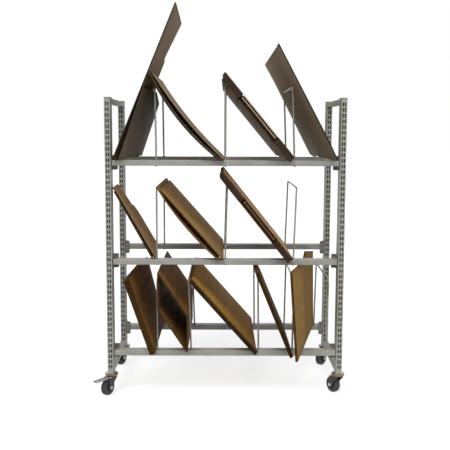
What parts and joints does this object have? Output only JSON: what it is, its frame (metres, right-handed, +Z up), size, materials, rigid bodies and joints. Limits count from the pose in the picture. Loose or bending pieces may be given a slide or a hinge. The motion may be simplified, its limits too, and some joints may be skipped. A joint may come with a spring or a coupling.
{
  "type": "cardboard holder trolley",
  "caption": "Wheeled rack of slotted posts and box beams whose wire hoops part leaning cartons and sheets of board.",
  "frame": {"origin": "centre of the overall box on the floor", "axes": "+X to the right seen from the front, +Y to the back, +Z up; the front is the side with the pictured posts"},
  "size_m": [1.1576, 1.2072, 1.7796],
  "materials": {
    "painted_frame": "light grey paint, semi-matt",
    "post_cap": "grey plastic",
    "socket": "plain steel",
    "bracket": "light grey paint, semi-matt",
    "painted_beam": "light grey paint, semi-matt",
    "hoop_wire": "grey paint on wire",
    "zinc": "bright zinc",
    "dust_ring": "copper-coloured pressed ring",
    "fork": "black paint",
    "axle_bolt": "zinc",
    "hub": "dark grey nylon",
    "tyre": "black rubber",
    "pedal": "bright zinc",
    "cardboard": "brown corrugated board"
  },
  "bodies": {
    "rack": {"post_front_left": "painted_frame", "post_front_right": "painted_frame", "post_rear_left": "painted_frame", "post_rear_right": "painted_frame", "top_rails": "painted_frame", "foot_rails": "painted_frame", "post_caps": "post_cap", "foot_sockets": "socket", "beam_brackets": "bracket", "beam_low_front": "painted_beam", "beam_low_rear": "painted_beam", "beam_mid_front": "painted_beam", "beam_mid_rear": "painted_beam", "beam_top_front": "painted_beam", "beam_top_rear": "painted_beam", "hoop_low_1": "hoop_wire", "hoop_low_2": "hoop_wire", "hoop_low_3": "hoop_wire", "hoop_low_4": "hoop_wire", "hoop_low_5": "hoop_wire", "hoop_mid_1": "hoop_wire", "hoop_mid_2": "hoop_wire", "hoop_mid_3": "hoop_wire", "hoop_top_1": "hoop_wire", "hoop_top_2": "hoop_wire", "hoop_top_3": "hoop_wire", "castor_stems": "zinc", "dust_rings": "dust_ring"},
    "swivel_front_left": {"fork_front_left": "fork", "axle_front_left": "axle_bolt"},
    "wheel_front_left": {"hub_front_left": "hub", "tyre_front_left": "tyre"},
    "swivel_front_right": {"fork_front_right": "fork", "axle_front_right": "axle_bolt"},
    "wheel_front_right": {"hub_front_right": "hub", "tyre_front_right": "tyre"},
    "swivel_rear_left": {"fork_rear_left": "fork", "axle_rear_left": "axle_bolt"},
    "wheel_rear_left": {"hub_rear_left": "hub", "tyre_rear_left": "tyre"},
    "swivel_rear_right": {"fork_rear_right": "fork", "axle_rear_right": "axle_bolt"},
    "wheel_rear_right": {"hub_rear_right": "hub", "tyre_rear_right": "tyre"},
    "pedal_front_left": {"brake_pedal_front": "pedal"},
    "pedal_rear_left": {"brake_pedal_rear": "pedal"},
    "load_sheet_top_tall": {"sheet_top_tall": "cardboard"},
    "load_sheet_top_short": {"sheet_top_short": "cardboard"},
    "load_sheets_top_bent": {"sheets_top_bent": "cardboard"},
    "load_cartons_top": {"cartons_top": "cardboard"},
    "load_sheets_top_wide": {"sheets_top_wide": "cardboard"},
    "load_sheet_mid_left": {"sheet_mid_left": "cardboard"},
    "load_carton_mid_open": {"carton_mid_open": "cardboard"},
    "load_cartons_mid": {"cartons_mid": "cardboard"},
    "load_stack_low_left": {"stack_low_left": "cardboard"},
    "load_sleeve_low": {"sleeve_low": "cardboard"},
    "load_sheets_low_long": {"sheets_low_long": "cardboard"},
    "load_bundle_low": {"bundle_low": "cardboard"},
    "load_carton_low_tall": {"carton_low_tall": "cardboard"}
  },
  "joints": [
    {"name": "swivel_front_left_turn", "type": "hinge", "parent": "rack", "child": "swivel_front_left", "pos_m": [-0.5005, -0.394, 0.084], "axis": [0, 0, 1], "continuous": true},
    {"name": "wheel_front_left_spin", "type": "hinge", "parent": "swivel_front_left", "child": "wheel_front_left", "pos_m": [-0.51595, -0.41972, 0.0375], "axis": [0.8572, -0.515, 0], "continuous": true},
    {"name": "swivel_front_right_turn", "type": "hinge", "parent": "rack", "child": "swivel_front_right", "pos_m": [0.5525, -0.394, 0.084], "axis": [0, 0, 1], "continuous": true},
    {"name": "wheel_front_right_spin", "type": "hinge", "parent": "swivel_front_right", "child": "wheel_front_right", "pos_m": [0.53594, -0.36898, 0.0375], "axis": [-0.8339, -0.5519, 0], "continuous": true},
    {"name": "swivel_rear_left_turn", "type": "hinge", "parent": "rack", "child": "swivel_rear_left", "pos_m": [-0.5005, 0.086, 0.084], "axis": [0, 0, 1], "continuous": true},
    {"name": "wheel_rear_left_spin", "type": "hinge", "parent": "swivel_rear_left", "child": "wheel_rear_left", "pos_m": [-0.51504, 0.05976, 0.0375], "axis": [0.8746, -0.4848, 0], "continuous": true},
    {"name": "swivel_rear_right_turn", "type": "hinge", "parent": "rack", "child": "swivel_rear_right", "pos_m": [0.5525, 0.086, 0.084], "axis": [0, 0, 1], "continuous": true},
    {"name": "wheel_rear_right_spin", "type": "hinge", "parent": "swivel_rear_right", "child": "wheel_rear_right", "pos_m": [0.53322, 0.06302, 0.0375], "axis": [0.766, -0.6428, 0], "continuous": true},
    {"name": "pedal_front_left_press", "type": "hinge", "parent": "swivel_front_left", "child": "pedal_front_left", "pos_m": [-0.51518, -0.41843, 0.079], "axis": [0.8572, -0.515, 0], "range_deg": [0, 10]},
    {"name": "pedal_rear_left_press", "type": "hinge", "parent": "swivel_rear_left", "child": "pedal_rear_left", "pos_m": [-0.51432, 0.06107, 0.079], "axis": [0.8746, -0.4848, 0], "range_deg": [0, 10]},
    {"name": "sheet_top_tall_pull", "type": "slide", "parent": "rack", "child": "load_sheet_top_tall", "axis": [0, -1, 0], "range_m": [0, 0.21]},
    {"name": "sheet_top_short_pull", "type": "slide", "parent": "rack", "child": "load_sheet_top_short", "axis": [0, -1, 0], "range_m": [0, 0.25]},
    {"name": "sheets_top_bent_pull", "type": "slide", "parent": "rack", "child": "load_sheets_top_bent", "axis": [0, -1, 0], "range_m": [0, 0.25]},
    {"name": "cartons_top_pull", "type": "slide", "parent": "rack", "child": "load_cartons_top", "axis": [-0.007, -1, 0], "range_m": [0, 0.4]},
    {"name": "sheets_top_wide_pull", "type": "slide", "parent": "rack", "child": "load_sheets_top_wide", "axis": [0, -1, 0], "range_m": [0, 0.42]},
    {"name": "sheet_mid_left_pull", "type": "slide", "parent": "rack", "child": "load_sheet_mid_left", "axis": [0.0436, -0.999, 0], "range_m": [0, 0.14]},
    {"name": "carton_mid_open_pull", "type": "slide", "parent": "rack", "child": "load_carton_mid_open", "axis": [0, -1, 0], "range_m": [0, 0.26]},
    {"name": "cartons_mid_pull", "type": "slide", "parent": "rack", "child": "load_cartons_mid", "axis": [0, -1, 0], "range_m": [0, 0.145]},
    {"name": "stack_low_left_pull", "type": "slide", "parent": "rack", "child": "load_stack_low_left", "axis": [0, -1, 0], "range_m": [0, 0.2]},
    {"name": "sleeve_low_pull", "type": "slide", "parent": "rack", "child": "load_sleeve_low", "axis": [0, -1, 0], "range_m": [0, 0.23]},
    {"name": "sheets_low_long_pull", "type": "slide", "parent": "rack", "child": "load_sheets_low_long", "axis": [0, -1, 0], "range_m": [0, 0.23]},
    {"name": "bundle_low_pull", "type": "slide", "parent": "rack", "child": "load_bundle_low", "axis": [0, -1, 0], "range_m": [0, 0.11]},
    {"name": "carton_low_tall_pull", "type": "slide", "parent": "rack", "child": "load_carton_low_tall", "axis": [0, -1, 0], "range_m": [0, 0.12]}
  ]
}
